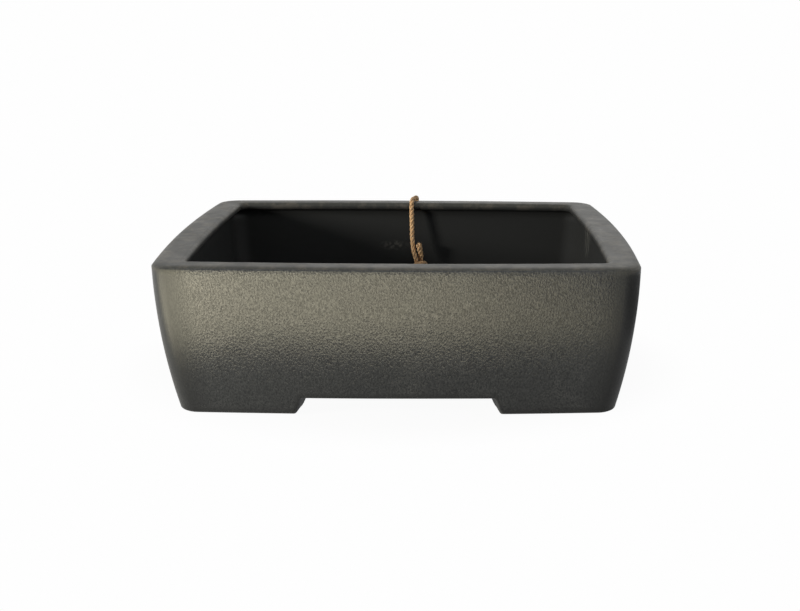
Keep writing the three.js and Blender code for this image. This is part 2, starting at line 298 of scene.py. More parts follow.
def line_object(name, runs):
    """An object of bare edges, one open run for each pair of point numbers."""
    points, edges, picked = [], [], []
    for first, last in runs:
        start = len(points)
        numbers = list(range(first, last + 1))
        picked += numbers
        points += [tuple(cord_line[i]) for i in numbers]
        edges += [(i, i + 1) for i in range(start, start + len(numbers) - 1)]
    mesh = bpy.data.meshes.new(name)
    mesh.from_pydata(points, edges, [])
    for label, kind, field, values in (
        ("along", "FLOAT", "value", along), ("opened", "FLOAT", "value", opened),
        ("side", "FLOAT_VECTOR", "vector", sides), ("combed", "FLOAT_VECTOR", "vector", combed),
    ):
        attribute = mesh.attributes.new(label, kind, "POINT")
        attribute.data.foreach_set(field, np.ascontiguousarray(values[picked], np.float32).ravel())
    return link_object(name, mesh)


jute_cord = line_object("jute_cord", [(cord_first, cord_last)])
reef_knot = line_object("reef_knot", [(upper_end_last, cord_first), (cord_last, lower_end_first)])
cut_end_upper = line_object("cut_end_upper", [(0, upper_end_last)])
cut_end_lower = line_object("cut_end_lower", [(lower_end_first, len(cord_line) - 1)])
print("line points in the free stretch:", len(jute_cord.data.vertices))

# %% [markdown]
# ### The jute's finish
#
# Raw jute is a dull, dry plant fibre between straw and light brown, with a slight sheen along the
# fibres and no gloss across them. Colour varies from fibre to fibre and in long soft patches. The
# pattern reads an attribute that is wrapped round each strand, so the streaks follow the lay. One
# fibre is about a tenth of a millimetre wide, too fine to show, so the streaks are drawn nearly
# three times as wide.

# %% Material: raw jute fibre
STRAND_RADIUS = 0.88 * MM
STREAK_WIDTH = 0.275 * MM
FIBRE_RELIEF = 0.12 * MM
RELIEF_STRENGTH = 0.8
JUTE_STREAKS = ((0.3, "#94735a"), (0.5, "#dec29d"), (0.72, "#fdf0d9"))
JUTE_TINTS = ("#f6d6bc", "#f7eed2")
TINTS_PER_METRE = 90.0
TINT_SHARE = 0.75
JUTE_ROUGHNESS = 0.82
JUTE_SHEEN = 0.15


def make_raw_jute():
    material, node = new_shading(bpy.data.materials, "raw_jute_fibre")
    wrapped = node("ShaderNodeAttribute", attribute_name="fibre").outputs["Vector"]
    place = node("ShaderNodeTexCoord").outputs["Object"]
    streaks = node("ShaderNodeTexNoise", {
        "Vector": wrapped, "Scale": STRAND_RADIUS / STREAK_WIDTH, "Detail": 3.0, "Roughness": 0.65,
    })
    streak_colour = node("ShaderNodeValToRGB", {"Fac": streaks})
    stops = streak_colour.color_ramp.elements
    stops.new(JUTE_STREAKS[1][0])
    for stop, (position, colour) in zip(stops, JUTE_STREAKS):
        stop.position, stop.color = position, linear(colour)
    patches = node("ShaderNodeTexNoise", {
        "Vector": place, "Scale": TINTS_PER_METRE, "Detail": 2.0,
    })
    tint = paint(node, linear(JUTE_TINTS[0]), (patches, linear(JUTE_TINTS[1])))
    colour = node("ShaderNodeMix", {
        "Factor": TINT_SHARE, "A": streak_colour, "B": tint,
    }, data_type="RGBA", blend_type="MULTIPLY")
    relief = node("ShaderNodeBump", {
        "Strength": RELIEF_STRENGTH, "Distance": FIBRE_RELIEF, "Height": streaks,
    })
    jute = node("ShaderNodeBsdfPrincipled", {
        "Base Color": colour, "Roughness": JUTE_ROUGHNESS, "Sheen Weight": JUTE_SHEEN,
        "Normal": relief,
    })
    node("ShaderNodeOutputMaterial", {"Surface": jute})
    return material


raw_jute = make_raw_jute()
print("made", raw_jute.name)

# %% [markdown]
# ### The node tree that lays the strands
#
# Geometry Nodes suit this, because the rule is short: copy the line once for each strand, push each
# copy off the line in a direction that turns once per lay length, and sweep a circle along it. Each
# point also keeps its place in the pattern of fibres: its direction from the strand's middle, with
# the twist of the yarns, and its distance along the cord.

# %% Tree: strands
STRAND_SIDES = 12


def new_tree(name, sockets):
    """A Geometry Nodes tree with named inputs, add_node made ready for it, and those inputs."""
    tree = bpy.data.node_groups.new(name, "GeometryNodeTree")
    tree.interface.new_socket("Geometry", in_out="OUTPUT", socket_type="NodeSocketGeometry")
    for label, kind in sockets:
        tree.interface.new_socket(label, in_out="INPUT", socket_type="NodeSocket" + kind)
    node = partial(add_node, tree)
    return tree, node, node("NodeGroupInput").outputs


def lay_strands(node, given):
    """The strands' smooth skin."""
    stored = "GeometryNodeInputNamedAttribute"
    along, opened = (node(stored, {"Name": name}, data_type="FLOAT")
                     for name in ("along", "opened"))
    side, rim = (node(stored, {"Name": name}, data_type="FLOAT_VECTOR") for name in ("side", "rim"))
    line = node("GeometryNodeMeshToCurve", {"Mesh": given["Line"]})
    copies = node("GeometryNodeDuplicateElements", {
        "Geometry": line, "Amount": given["Strands"],
    }, domain="SPLINE")
    which = copies.outputs["Duplicate Index"]
    turns = node("ShaderNodeMath", [
        node("ShaderNodeMath", [along, given["Lay Length"]], operation="DIVIDE"),
        node("ShaderNodeMath", [which, given["Strands"]], operation="DIVIDE"),
    ], operation="ADD")
    angle = node("ShaderNodeMath", [turns, 2 * math.pi], operation="MULTIPLY")
    across = node("ShaderNodeVectorMath", [
        node("GeometryNodeInputTangent"), side,
    ], operation="CROSS_PRODUCT")
    direction = node("ShaderNodeVectorMath", [
        node("ShaderNodeVectorMath", {
            0: axis, "Scale": node("ShaderNodeMath", [angle], operation=wave),
        }, operation="SCALE")
        for axis, wave in ((side, "COSINE"), (across, "SINE"))
    ], operation="ADD")
    reach = node("ShaderNodeMath", [given["Strand Offset"], opened], operation="MULTIPLY")
    push = node("ShaderNodeVectorMath", {0: direction, "Scale": reach}, operation="SCALE")
    strands = node("GeometryNodeSetPosition", {"Geometry": copies, "Offset": push})

    circle = node("GeometryNodeCurvePrimitiveCircle", {
        "Resolution": STRAND_SIDES, "Radius": given["Strand Radius"],
    })
    outwards = node("ShaderNodeVectorMath", [
        node("GeometryNodeInputPosition"),
    ], operation="NORMALIZE")
    profile = node("GeometryNodeStoreNamedAttribute", {
        "Geometry": circle, "Name": "rim", "Value": outwards,
    }, data_type="FLOAT_VECTOR", domain="POINT")
    swept = node("GeometryNodeCurveToMesh", {
        "Curve": strands, "Profile Curve": profile, "Scale": opened, "Fill Caps": True,
    })
    yarn_angle = node("ShaderNodeMath", [along, given["Yarn Turn"]], operation="MULTIPLY")
    wound = node("ShaderNodeVectorRotate", {
        "Vector": rim, "Angle": yarn_angle,
    }, rotation_type="Z_AXIS")
    lengthwise = node("ShaderNodeCombineXYZ", {
        "Z": node("ShaderNodeMath", [along, given["Streak Stretch"]], operation="DIVIDE"),
    })
    streaked = node("GeometryNodeStoreNamedAttribute", {
        "Geometry": swept, "Name": "fibre",
        "Value": node("ShaderNodeVectorMath", [wound, lengthwise], operation="ADD"),
    }, data_type="FLOAT_VECTOR", domain="POINT")
    return node("GeometryNodeSetShadeSmooth", {"Geometry": streaked})

# %% [markdown]
# ### Loose fibres
#
# Loose fibres are small curved hairs, scattered over the strands with a fixed seed. They lean with
# the comb direction and stand closer where it is strong, so a cut end gets its brush. Realize
# Instances and Set Material end the tree.

# %% Tree: loose fibres, and the whole laid cord
HAIR_BEND = {"Resolution": 4, "Start": (0, 0, -0.1), "Middle": (0, 0, 0.45), "End": (0.55, 0, 0.8)}
HAIR_SIDES = 3
SHORTEST_HAIR = 0.35
COMBED_CROWDING = 6.0


def scatter_hairs(node, given, strands):
    """Hairs as instances, whose length is 1 before they are scaled."""
    comb = node("GeometryNodeInputNamedAttribute", {"Name": "combed"}, data_type="FLOAT_VECTOR")
    combed = node("ShaderNodeVectorMath", [comb], operation="LENGTH")
    crowded = node("ShaderNodeMath", [COMBED_CROWDING, combed], operation="MULTIPLY")
    more = node("ShaderNodeMath", [1.0, crowded], operation="ADD")
    scatter = node("GeometryNodeDistributePointsOnFaces", {
        "Mesh": strands, "Seed": given["Seed"],
        "Density": node("ShaderNodeMath", [given["Hairs per m2"], more], operation="MULTIPLY"),
    })
    slimness = node("ShaderNodeMath", [
        given["Hair Radius"], given["Hair Length"],
    ], operation="DIVIDE")
    hair = node("GeometryNodeCurveToMesh", {
        "Curve": node("GeometryNodeCurveQuadraticBezier", HAIR_BEND),
        "Profile Curve": node("GeometryNodeCurvePrimitiveCircle", {
            "Resolution": HAIR_SIDES, "Radius": slimness,
        }),
        "Fill Caps": True,
    })
    lean = node("ShaderNodeVectorMath", [scatter.outputs["Normal"], comb], operation="ADD")
    spin = node("FunctionNodeRandomValue", {"Min": 0.0, "Max": 2 * math.pi, "Seed": given["Seed"]})
    turned = node("FunctionNodeRotateRotation", {
        "Rotation": node("FunctionNodeAlignRotationToVector", {"Vector": lean}),
        "Rotate By": node("FunctionNodeAxisAngleToRotation", {"Axis": (0, 0, 1), "Angle": spin}),
    }, rotation_space="LOCAL")
    size = node("FunctionNodeRandomValue", {
        "Min": SHORTEST_HAIR, "Max": 1.0, "Seed": given["Seed"],
    })
    return node("GeometryNodeInstanceOnPoints", {
        "Points": scatter, "Instance": hair, "Rotation": turned,
        "Scale": node("ShaderNodeMath", [size, given["Hair Length"]], operation="MULTIPLY"),
    })


def make_laid_cord_tree():
    tree, node, given = new_tree("laid_cord", [
        ("Line", "Geometry"), ("Strands", "Int"), ("Strand Radius", "Float"),
        ("Strand Offset", "Float"), ("Lay Length", "Float"), ("Yarn Turn", "Float"),
        ("Streak Stretch", "Float"), ("Hairs per m2", "Float"), ("Hair Length", "Float"),
        ("Hair Radius", "Float"), ("Seed", "Int"), ("Jute", "Material"),
    ])
    strands = lay_strands(node, given)
    joined = node("GeometryNodeJoinGeometry", [scatter_hairs(node, given, strands)])
    tree.links.new(first_shown(strands.outputs), joined.inputs[0])
    real = node("GeometryNodeRealizeInstances", {"Geometry": joined})
    painted = node("GeometryNodeSetMaterial", {"Geometry": real, "Material": given["Jute"]})
    node("NodeGroupOutput", [painted])
    return tree


laid_cord = make_laid_cord_tree()
print("nodes in the laid-cord tree:", len(laid_cord.nodes))

# %% Lay the strands of each piece and keep plain meshes
YARN_LAY = 7 * MM


def bake(obj, tree, values):
    """Runs a tree on an object with named values, and keeps the result as the object's mesh."""
    modifier = obj.modifiers.new(tree.name, "NODES")
    modifier.node_group = tree
    for item in tree.interface.items_tree:
        if item.item_type == "SOCKET" and item.in_out == "INPUT" and item.name in values:
            modifier[item.identifier] = values[item.name]
    graph = bpy.context.evaluated_depsgraph_get()
    mesh = bpy.data.meshes.new_from_object(obj.evaluated_get(graph))
    obj.modifiers.clear()
    obj.data = mesh
    return len(mesh.polygons)


LAY = {
    "Strands": 3, "Strand Radius": STRAND_RADIUS, "Strand Offset": 0.9 * MM,
    "Lay Length": 10.5 * MM, "Yarn Turn": -2 * math.pi / YARN_LAY, "Streak Stretch": 9 * MM,
    "Hairs per m2": 90000.0, "Hair Length": 1.5 * MM, "Hair Radius": 0.035 * MM, "Jute": raw_jute,
}
for seed, piece in enumerate((jute_cord, reef_knot, cut_end_upper, cut_end_lower), start=1):
    print(piece.name, "has", bake(piece, laid_cord, {**LAY, "Seed": seed}), "faces")

# %% [markdown]
# ## The pot's plan
#
# Seen from above, the pot is a rectangle whose four sides bow outwards a little and meet in round
# corners. Every level of the wall has this plan, only further in. So the plan is one function of
# the inset, worked out at fixed stations round the pot, and the wall is a stack of such rings.
# The stations lie close together where the cut-outs between the feet start and end.

# %% Sizes of the pot in metres
pot_low, pot_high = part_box("pot_body")
LENGTH, DEPTH, HEIGHT = pot_high - pot_low
LONG_SIDE_BOW = 3.3 * MM
SHORT_SIDE_BOW = 4.6 * MM
CORNER_RADIUS = 12 * MM
WALL_CURVE_RADIUS = 464 * MM
LONG_SIDE_RIM_WIDTH = 15 * MM
SHORT_SIDE_RIM_WIDTH = 20 * MM
RIM_EDGE_WIDTH = 5 * MM
RIM_EDGE_DROP = 2 * MM
RIM_INNER_RADIUS = 3 * MM
MOUTH_SIDE_BOW = 2.7 * MM
MOUTH_CORNER_RADIUS = 6 * MM
LIP_THICKNESS = 5.5 * MM
LIP_LOWER_RADIUS = 1.5 * MM
COVE_HEIGHT = 6 * MM
WALL_THICKNESS = 9.5 * MM
CAVITY_CORNER_RADIUS = 14 * MM
FLOOR_THICKNESS = 8.5 * MM
FLOOR_FILLET = 9 * MM
CUT_OUT_HEIGHT = 11.5 * MM
UNDERSIDE_RISE = 1.5 * MM
FOOT_WIDTH = 14 * MM
FOOT_DRAFT = 1 * MM
FOOT_CORNER_RADIUS = 5 * MM
BOTTOM_EDGE_RADIUS = 2.5 * MM
FRONT_GAP = 128 * MM
SIDE_GAP = 86 * MM
GAP_SLANT = 5 * MM
GAP_ROUNDING = 2.8 * MM

BELLY_HEIGHT = HEIGHT - RIM_EDGE_DROP
UNDERSIDE_HEIGHT = CUT_OUT_HEIGHT + UNDERSIDE_RISE
FLOOR_HEIGHT = UNDERSIDE_HEIGHT + FLOOR_THICKNESS
LIP_FOOT = HEIGHT - LIP_THICKNESS
COVE_FOOT = LIP_FOOT - COVE_HEIGHT
print(f"pot {LENGTH * 1000:.0f} by {DEPTH * 1000:.0f} by {HEIGHT * 1000:.1f} mm")

# %% Stations round the plan
STATION_SPACING = 3.2 * MM
FINE_SPACING = 0.65 * MM
CORNER_STATIONS = 14
FINE_REACH = 6.5 * MM


def wall_inset(height):
    """How far the outer wall stands inside the belly: it is an arc that is upright at the belly."""
    return WALL_CURVE_RADIUS - np.sqrt(WALL_CURVE_RADIUS ** 2 - (BELLY_HEIGHT - height) ** 2)


def side_arc(short_inset, long_inset, corner, short_bow, long_side):
    """Half chord, stand-off, bow, radius and half angle of a side at those insets."""
    reach_x = LENGTH / 2 - short_inset - short_bow - corner
    reach_y = DEPTH / 2 - long_inset - LONG_SIDE_BOW - corner
    half = np.where(long_side, reach_x, reach_y)
    stand = np.where(long_side, reach_y, reach_x)
    bow = np.where(long_side, LONG_SIDE_BOW, short_bow)
    radius = (half ** 2 + bow ** 2) / (2 * bow)
    return half, stand, bow, radius, np.arcsin(half / radius)


def side_places(half, gap):
    """Distances along a side, close together where the cut-out's end rises."""
    places, place = [], 0.0
    while place < half - STATION_SPACING / 2:
        places.append(place)
        near_end = abs(place - (gap - GAP_SLANT) / 2) < FINE_REACH
        place += FINE_SPACING if near_end else STATION_SPACING
    return np.array([-p for p in places[:0:-1]] + places)


def make_stations():
    """Each station's side, whether it is on a corner, its share of it and its place along."""
    rows = []
    for side in range(4):
        gap = FRONT_GAP if side % 2 == 0 else SIDE_GAP
        half, _, _, radius, turn = side_arc(
            wall_inset(0), wall_inset(0), CORNER_RADIUS, SHORT_SIDE_BOW, side % 2 == 0)
        outer = radius + CORNER_RADIUS
        places = side_places(outer * math.sin(turn), gap)
        start = -outer * math.sin(turn)
        for place in np.concatenate([[start], places]):
            rows.append((side, 0, (math.asin(place / outer) / turn + 1) / 2, place))
        for i in range(CORNER_STATIONS):
            rows.append((side, 1, i / CORNER_STATIONS, math.inf))
    return np.array(rows).T


station_side, on_corner, share, place_along = make_stations()
station_side = station_side.astype(int)
on_corner = on_corner > 0
print("stations round the pot:", len(share))


def plan_points(*plan):
    """The plan's point at each station, for the insets, corner radius and short sides' bow."""
    half, stand, bow, radius, turn = side_arc(*plan, station_side % 2 == 0)
    next_turn = side_arc(*plan, station_side % 2 == 1)[4]
    corner = plan[2]
    on_side = (2 * share - 1) * turn
    round_corner = turn + (math.pi / 2 - next_turn - turn) * share
    angle = np.where(on_corner, round_corner, on_side)
    length = np.where(on_corner, half + corner * np.sin(angle), (radius + corner) * np.sin(angle))
    side_out = stand + bow - radius + (radius + corner) * np.cos(angle)
    out = np.where(on_corner, stand + corner * np.cos(angle), side_out)
    along_x = np.array([1, 0, -1, 0])[station_side]
    along_y = np.array([0, 1, 0, -1])[station_side]
    return length * along_x + out * along_y, length * along_y - out * along_x

# %% [markdown]
# ## The wall's section
#
# The section starts at the underside, goes round the foot, up the outside, over the rim, under the
# lip and down to the floor. Between the feet the same rings are lifted by the height of the
# cut-out, so one continuous skin makes wall, feet and cut-outs, and every edge stays soft, as a
# damp sponge leaves it on leather-hard clay. Each ring also notes how much grain its clay shows.

# %% Curves that the section is made of
def soft_step(value, low, high, rounding):
    """A value held between two limits, with a rounded bend at each."""
    bend = np.maximum(rounding - np.abs(value - high), 0) / rounding
    value = np.minimum(value, high) - bend ** 2 * rounding / 4
    bend = np.maximum(rounding - np.abs(value - low), 0) / rounding
    return np.maximum(value, low) + bend ** 2 * rounding / 4


def quarter(start, end, steps, upright):
    """Pairs of inset and height along a quarter ellipse, without its first point."""
    pairs = []
    for angle in np.arange(1, steps + 1) / steps * math.pi / 2:
        slow, fast = 1 - math.cos(angle), math.sin(angle)
        u, v = (slow, fast) if upright else (fast, slow)
        pairs.append((start[0] + (end[0] - start[0]) * u, start[1] + (end[1] - start[1]) * v))
    return pairs


def between(start, end, steps):
    """Values that lead from start to end, without the start."""
    return [start + (end - start) * i / steps for i in range(1, steps + 1)]


print("halfway from 0 to 1:", between(0.0, 1.0, 2)[0])

# %% Rim, lip and cove, which differ between the long and the short sides
RIM_EDGE_RINGS = 8
RIM_TOP_RINGS = 4
LIP_EDGE_RINGS = 5
COVE_RINGS = 6


def cavity_inset(height):
    """How far the cavity's wall stands inside the belly."""
    return wall_inset(height) + WALL_THICKNESS


def rim_top(width):
    """The flat of a rim of that width."""
    insets = between(RIM_EDGE_WIDTH, width - RIM_INNER_RADIUS, RIM_TOP_RINGS)
    return [(inset, HEIGHT) for inset in insets]


def lip_edge(width):
    """The rounded inner edge of the rim, down to the lip's underside."""
    upper = quarter((width - RIM_INNER_RADIUS, HEIGHT), (width, HEIGHT - RIM_INNER_RADIUS),
                    RIM_EDGE_RINGS, upright=False)
    face_foot = (width, LIP_FOOT + LIP_LOWER_RADIUS)
    lower = quarter(face_foot, (width - LIP_LOWER_RADIUS, LIP_FOOT), LIP_EDGE_RINGS, upright=True)
    return upper + [face_foot] + lower


def cove(width):
    """The hollow under the lip, down to the cavity's wall."""
    return quarter((width - LIP_LOWER_RADIUS, LIP_FOOT), (cavity_inset(COVE_FOOT), COVE_FOOT),
                   COVE_RINGS, upright=False)


print("rings from the rim's edge to the cavity:",
      sum(len(part(LONG_SIDE_RIM_WIDTH)) for part in (rim_top, lip_edge, cove)))

# %% Rings of the whole section
OUTER_RINGS = 30
CAVITY_RINGS = 16
FOOT_INNER_RINGS = 3
FOOT_INNER_EDGE_RINGS = 4
FOOT_SOLE_RINGS = 4
FOOT_OUTER_EDGE_RINGS = 5
FLOOR_FILLET_RINGS = 7
GRAINED_EDGE_RINGS = 2
FULL_GRAIN = 1.0
BOTTOM_EDGE_GRAIN = 0.5
FOOT_GRAIN = 0.2
NO_GRAIN = 0.0
SKIRT_ROUNDED_SHARE = 0.6
CUT_OUT_EDGE_LOSS = 0.35


def make_rings():
    """The rings as (short sides' inset, long sides' inset, corner radius, short sides' bow, height,
    grain). An inset or a height may be one value for each station."""
    gap = np.where(station_side % 2 == 0, FRONT_GAP, SIDE_GAP)
    rise = (gap / 2 - np.abs(place_along)) / GAP_SLANT * CUT_OUT_HEIGHT
    lift = soft_step(np.where(on_corner, -1.0, rise), 0.0, CUT_OUT_HEIGHT, GAP_ROUNDING)
    inner_round = np.minimum(BOTTOM_EDGE_RADIUS, SKIRT_ROUNDED_SHARE * (UNDERSIDE_HEIGHT - lift))
    outer_round = BOTTOM_EDGE_RADIUS * (1 - CUT_OUT_EDGE_LOSS * lift / CUT_OUT_HEIGHT)
    foot = wall_inset(0) + FOOT_WIDTH
    rings = []

    def add(pairs, corner, grain, long_pairs=None, bow=SHORT_SIDE_BOW):
        """Adds levels. The long sides have levels of their own where their rim differs."""
        corners = between(rings[-1][2], corner, len(pairs)) if rings else [corner]
        bows = between(rings[-1][3], bow, len(pairs)) if rings else [bow]
        levels = zip(pairs, long_pairs or pairs, corners, bows)
        for (inset, height), (long_inset, _), radius, side_bow in levels:
            rings.append((inset, long_inset, radius, side_bow, height, grain))

    start = (foot + FOOT_DRAFT + 0 * lift, UNDERSIDE_HEIGHT + 0 * lift)
    add([start], FOOT_CORNER_RADIUS, FOOT_GRAIN)
    slope = FOOT_DRAFT / UNDERSIDE_HEIGHT
    heights = between(UNDERSIDE_HEIGHT, lift + inner_round, FOOT_INNER_RINGS)
    add([(foot + slope * h, h) for h in heights], FOOT_CORNER_RADIUS, FOOT_GRAIN)
    edge = (rings[-1][0], rings[-1][4])
    sole = quarter(edge, (edge[0] - inner_round, lift), FOOT_INNER_EDGE_RINGS, upright=True)
    add(sole, FOOT_CORNER_RADIUS, FOOT_GRAIN)
    outer_foot = wall_inset(lift) + outer_round
    add([(inset, lift) for inset in between(rings[-1][0], outer_foot, FOOT_SOLE_RINGS)],
        CORNER_RADIUS, FOOT_GRAIN)
    wall_foot = (wall_inset(lift + outer_round), lift + outer_round)
    add(quarter((outer_foot, lift), wall_foot, FOOT_OUTER_EDGE_RINGS, upright=False),
        CORNER_RADIUS, BOTTOM_EDGE_GRAIN)
    heights = between(wall_foot[1], BELLY_HEIGHT, OUTER_RINGS)
    add([(wall_inset(h), h) for h in heights], CORNER_RADIUS, FULL_GRAIN)
    rim_edge = quarter((0.0, BELLY_HEIGHT), (RIM_EDGE_WIDTH, HEIGHT), RIM_EDGE_RINGS, upright=True)
    add(rim_edge[:GRAINED_EDGE_RINGS], CORNER_RADIUS, FULL_GRAIN)
    add(rim_edge[GRAINED_EDGE_RINGS:], CORNER_RADIUS, NO_GRAIN)
    for part, corner, bow in ((rim_top, MOUTH_CORNER_RADIUS, MOUTH_SIDE_BOW),
                              (lip_edge, MOUTH_CORNER_RADIUS, MOUTH_SIDE_BOW),
                              (cove, CAVITY_CORNER_RADIUS, SHORT_SIDE_BOW)):
        add(part(SHORT_SIDE_RIM_WIDTH), corner, NO_GRAIN, part(LONG_SIDE_RIM_WIDTH), bow)
    fillet_top = FLOOR_HEIGHT + FLOOR_FILLET
    heights = between(COVE_FOOT, fillet_top, CAVITY_RINGS)
    add([(cavity_inset(h), h) for h in heights], CAVITY_CORNER_RADIUS, NO_GRAIN)
    wall_end = (cavity_inset(fillet_top), fillet_top)
    floor_edge = (wall_end[0] + FLOOR_FILLET, FLOOR_HEIGHT)
    add(quarter(wall_end, floor_edge, FLOOR_FILLET_RINGS, upright=True),
        CAVITY_CORNER_RADIUS, NO_GRAIN)
    return rings


rings = make_rings()
print("rings in the section:", len(rings))

# %% [markdown]
# ## Hands on clay
#
# A wall that a person has pressed, cut and sponged is never quite true. A slow noise moves the
# skin in and out by a quarter of a millimetre, and a quicker one by less than a tenth. That is
# enough to break up a highlight, and far too little to change a size.

# %% Skin of rings, with the maker's unevenness
SLOW_WAVE = 70 * MM
QUICK_WAVE = 17 * MM
SLOW_SWELL = 0.28 * MM
QUICK_SWELL = 0.05 * MM
SLOW_START = Vector((3.1, 7.7, 1.3))
QUICK_START = Vector((9.2, 0.4, 5.8))
CORNER_GRAIN = 0.3
CORNER_FADE = 22 * MM


def uneven(point):
    """How far the skin stands out at a point."""
    slow = noise.noise(Vector(point) / SLOW_WAVE + SLOW_START)
    quick = noise.noise(Vector(point) / QUICK_WAVE + QUICK_START)
    return slow * SLOW_SWELL + quick * QUICK_SWELL


def corner_fade():
    """How much of the grain is left near the corners, which a hand smooths more than the faces."""
    half = np.where(station_side % 2 == 0, LENGTH, DEPTH) / 2 - wall_inset(0) - CORNER_RADIUS
    inward = np.clip((half - np.abs(place_along)) / CORNER_FADE, 0, 1)
    smooth = inward * inward * (3 - 2 * inward)
    return np.where(on_corner, CORNER_GRAIN, CORNER_GRAIN + (1 - CORNER_GRAIN) * smooth)


def make_skin():
    """Points ring by ring, and the grain at each point."""
    points, grains = [], []
    fade = corner_fade()
    for *plan, height, grain in rings:
        x, y = plan_points(*plan)
        z = height + 0 * x
        out = np.hypot(x, y)
        swell = np.array([uneven(p) for p in zip(x, y, z)])
        points.append(np.stack([x + swell * x / out, y + swell * y / out, z], axis=1))
        grains.append(grain * fade)
    return np.concatenate(points), np.concatenate(grains)


skin_points, skin_grain = make_skin()
print("points in the skin:", len(skin_points))

# %% [markdown]
# ## The floor and its holes
#
# The floor is flat on both faces, with three drain holes in a row and four small holes for the
# wire that holds a tree. A flat face with round holes is a job for a constrained triangulation:
# the outline and the holes are given as edges, and the triangles that fall inside a hole are left
# out. Each hole then gets a wall with softened edges that joins the two faces.

# %% Holes, and flat faces round them
DRAIN_HOLE_RADIUS = 12 * MM
DRAIN_HOLE_PITCH = 84 * MM
DRAIN_HOLE_EDGE = 1.2 * MM
DRAIN_HOLE_SIDES = 48
WIRE_HOLE_RADIUS = 2.5 * MM
WIRE_HOLE_SPAN = (84 * MM, 110 * MM)
WIRE_HOLE_EDGE = 0.4 * MM
WIRE_HOLE_SIDES = 20
FLOOR_GRID = 9 * MM
INNER_SHARE = 0.93
CORNER_CUT = 1.8
HOLE_MARGIN = 4 * MM
INSIDE_ONLY = 1
SAME_PLACE = 1e-7

holes = [(side * DRAIN_HOLE_PITCH, 0.0, DRAIN_HOLE_RADIUS, DRAIN_HOLE_EDGE, DRAIN_HOLE_SIDES)
         for side in (-1, 0, 1)]
holes += [(sx * WIRE_HOLE_SPAN[0] / 2, sy * WIRE_HOLE_SPAN[1] / 2,
           WIRE_HOLE_RADIUS, WIRE_HOLE_EDGE, WIRE_HOLE_SIDES)
          for sx in (-1, 1) for sy in (-1, 1)]


def circle_points(x, y, radius, count, height):
    """Points evenly round a circle at that height."""
    angles = np.arange(count) / count * 2 * math.pi
    return [(x + radius * math.cos(a), y + radius * math.sin(a), height) for a in angles]


def hole_levels(radius, edge):
    """Radius and height of each ring of a hole's wall, from the floor down to the underside."""
    top = [(radius + edge * (1 - math.sin(a)), FLOOR_HEIGHT - edge * (1 - math.cos(a)))
           for a in np.radians([0, 30, 60, 90])]
    bottom = [(r, UNDERSIDE_HEIGHT + FLOOR_HEIGHT - h) for r, h in reversed(top)]
    return top + bottom


def fill_flat(mesh_points, loops, height):
    """Triangles between an outer loop and its holes, with points inside that keep them even."""
    numbers = [i for loop in loops for i in loop]
    owner = {i: which for which, loop in enumerate(loops) for i in loop}
    place = {i: order for order, i in enumerate(numbers)}
    edges = [(place[a], place[b]) for loop in loops for a, b in zip(loop, loop[1:] + loop[:1])]
    reach_x, reach_y = INNER_SHARE * np.array([mesh_points[i][:2] for i in loops[0]]).max(0)
    for x in np.arange(-reach_x, reach_x, FLOOR_GRID):
        for y in np.arange(-reach_y, reach_y, FLOOR_GRID):
            clear = all(math.hypot(x - hx, y - hy) > r + HOLE_MARGIN for hx, hy, r, _, _ in holes)
            if clear and abs(x) / reach_x + abs(y) / reach_y < CORNER_CUT:
                numbers.append(len(mesh_points))
                mesh_points.append((x, y, height))
    spots = [Vector(mesh_points[i][:2]) for i in numbers]
    found = geometry.delaunay_2d_cdt(spots, edges, [], INSIDE_ONLY, SAME_PLACE)
    triangles = [[numbers[found[3][i][0]] for i in triangle] for triangle in found[2]]

    def over_hole(triangle):
        owners = {owner.get(i) for i in triangle}
        return len(owners) == 1 and owners.pop() not in (None, 0)

    return [triangle for triangle in triangles if not over_hole(triangle)]

# %% The pot's mesh
SHARP_ANGLE = math.radians(48)


def bands(first, count, levels):
    """Quads between rings of points that follow one another, from the point numbered first."""
    return [(a, b, b + count, a + count)
            for start in range(first, first + (levels - 1) * count, count)
            for a, b in ((start + i, start + (i + 1) % count) for i in range(count))]


def make_pot_mesh():
    points = [tuple(p) for p in skin_points]
    count = len(share)
    faces = bands(0, count, len(rings))
    under_loops, floor_loops = [list(range(count))], [list(range(len(points) - count, len(points)))]
    for x, y, radius, edge, sides_round in holes:
        first = len(points)
        levels = hole_levels(radius, edge)
        for r, h in levels:
            points += circle_points(x, y, r, sides_round, h)
        faces += bands(first, sides_round, len(levels))
        floor_loops.append(list(range(first, first + sides_round)))
        under_loops.append(list(range(len(points) - sides_round, len(points))))
    faces += fill_flat(points, under_loops, UNDERSIDE_HEIGHT)
    faces += fill_flat(points, floor_loops, FLOOR_HEIGHT)
    mesh = bpy.data.meshes.new("stoneware_pot")
    mesh.from_pydata(points, [], faces)
    grain = np.zeros(len(points), np.float32)
    grain[:len(skin_grain)] = skin_grain
    mesh.attributes.new("grain", "FLOAT", "POINT").data.foreach_set("value", grain)
    builder = bmesh.new()
    builder.from_mesh(mesh)
    bmesh.ops.recalc_face_normals(builder, faces=builder.faces)
    open_edges = sum(not edge.is_manifold for edge in builder.edges)
    builder.to_mesh(mesh)
    builder.free()
    mesh.shade_smooth()
    mesh.set_sharp_from_angle(angle=SHARP_ANGLE)
    return mesh, open_edges


pot_mesh, open_edges = make_pot_mesh()
stoneware_pot = link_object("stoneware_pot", pot_mesh)
print(f"pot mesh: {len(pot_mesh.polygons)} faces, {open_edges} open edges")

# %% [markdown]
# ### The clay's grain
#
# This is unglazed stoneware, fired dark in a kiln short of air. The outer faces were beaten with a
# textured pad and have a fine, slightly upright leather grain of about a millimetre. It is a tenth
# of a millimetre deep and shows in no outline, so a bump map is enough, with the clay's own grit
# over it. Both come from noise, whose scale is one over a real size in metres.

